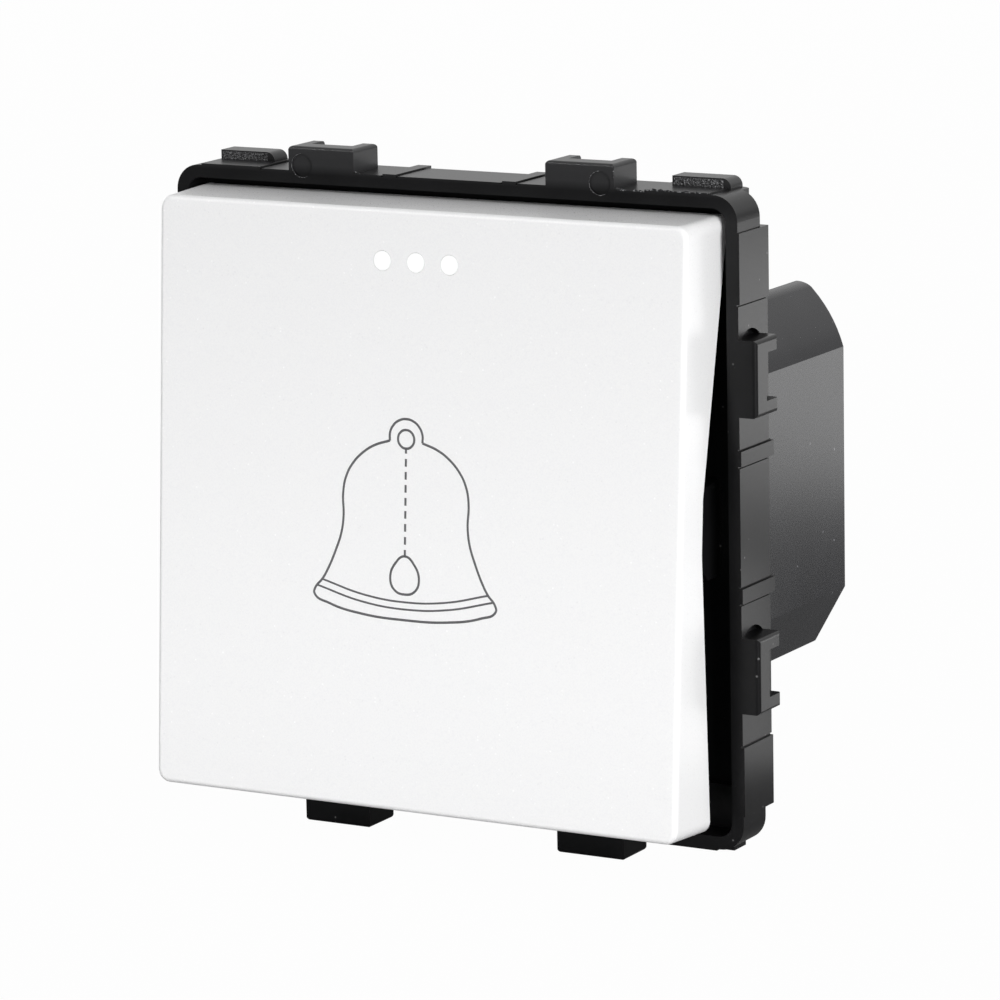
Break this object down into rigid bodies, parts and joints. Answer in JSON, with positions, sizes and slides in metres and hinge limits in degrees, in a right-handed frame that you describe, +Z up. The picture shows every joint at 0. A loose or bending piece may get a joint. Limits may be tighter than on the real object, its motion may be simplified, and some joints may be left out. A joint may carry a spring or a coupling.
{
  "type": "doorbell push button",
  "caption": "Square bell push mechanism: a tilting white button with a bell sign and indicator lenses, in a clip-in black frame with a push-in terminal housing behind.",
  "frame": {"origin": "centre of the mounting frame's front plane", "axes": "+X to the right, +Z up, the button faces -Y and the housing lies towards +Y"},
  "size_m": [0.0498, 0.0286, 0.0516],
  "materials": {
    "white_cap": "satin white with a fine sparkle",
    "lens": "translucent white",
    "carrier_plastic": "moulded black",
    "black_plastic": "moulded black, fine grain",
    "grey_plastic": "moulded dark grey",
    "cover_plastic": "moulded light grey",
    "natural_plastic": "natural acetal",
    "spring_steel": "drawn spring wire and strip",
    "contact_brass": "stamped strip",
    "silver": "silver contact metal",
    "button_plastic": "moulded pale grey",
    "board": "lacquered glass-fibre board",
    "led": "lamp package",
    "resistor": "glazed ceramic",
    "tinned_wire": "tinned copper wire",
    "sign_ink": "grey pad-printing ink"
  },
  "bodies": {
    "mechanism": {"mounting_frame": "black_plastic", "rear_housing": "grey_plastic", "contact_cover": "cover_plastic", "return_spring": "spring_steel", "plunger_spring": "spring_steel", "fixed_tips": "silver", "bell_terminal": "contact_brass", "common_terminal": "contact_brass", "clamp_spring_right": "spring_steel", "clamp_spring_left": "spring_steel", "indicator_board": "board", "indicator_led": "led", "series_resistor": "resistor", "lamp_lead_right": "tinned_wire", "lamp_lead_left": "tinned_wire"},
    "rocker": {"rocker_cap": "white_cap", "light_guide": "lens", "rocker_carrier": "carrier_plastic"},
    "plunger": {"plunger": "natural_plastic", "moving_contact": "contact_brass", "moving_tips": "silver"},
    "release_right": {"release_button_right": "button_plastic"},
    "release_left": {"release_button_left": "button_plastic"}
  },
  "joints": [
    {"name": "rocker_press", "type": "hinge", "parent": "mechanism", "child": "rocker", "pos_m": [0, -0.00215, 0], "axis": [1, 0, 0], "range_deg": [0, 5.5], "stiffness_Nm_per_rad": 0.366, "springref_deg": -5.73, "deforming": ["return_spring"]},
    {"name": "plunger_travel", "type": "slide", "parent": "mechanism", "child": "plunger", "axis": [0, 1, 0], "range_m": [0, 0.000768], "deforming": ["plunger_spring"]},
    {"name": "release_right_press", "type": "slide", "parent": "mechanism", "child": "release_right", "axis": [0, -1, 0], "range_m": [0, 0.0012], "stiffness_N_per_m": 4000, "springref_m": -0.0006, "deforming": ["clamp_spring_right"]},
    {"name": "release_left_press", "type": "slide", "parent": "mechanism", "child": "release_left", "axis": [0, -1, 0], "range_m": [0, 0.0012], "stiffness_N_per_m": 4000, "springref_m": -0.0006, "deforming": ["clamp_spring_left"]}
  ],
  "couplings": [
    {"joint": "plunger_travel", "follows": "rocker_press", "m_per_rad": 0.008}
  ]
}
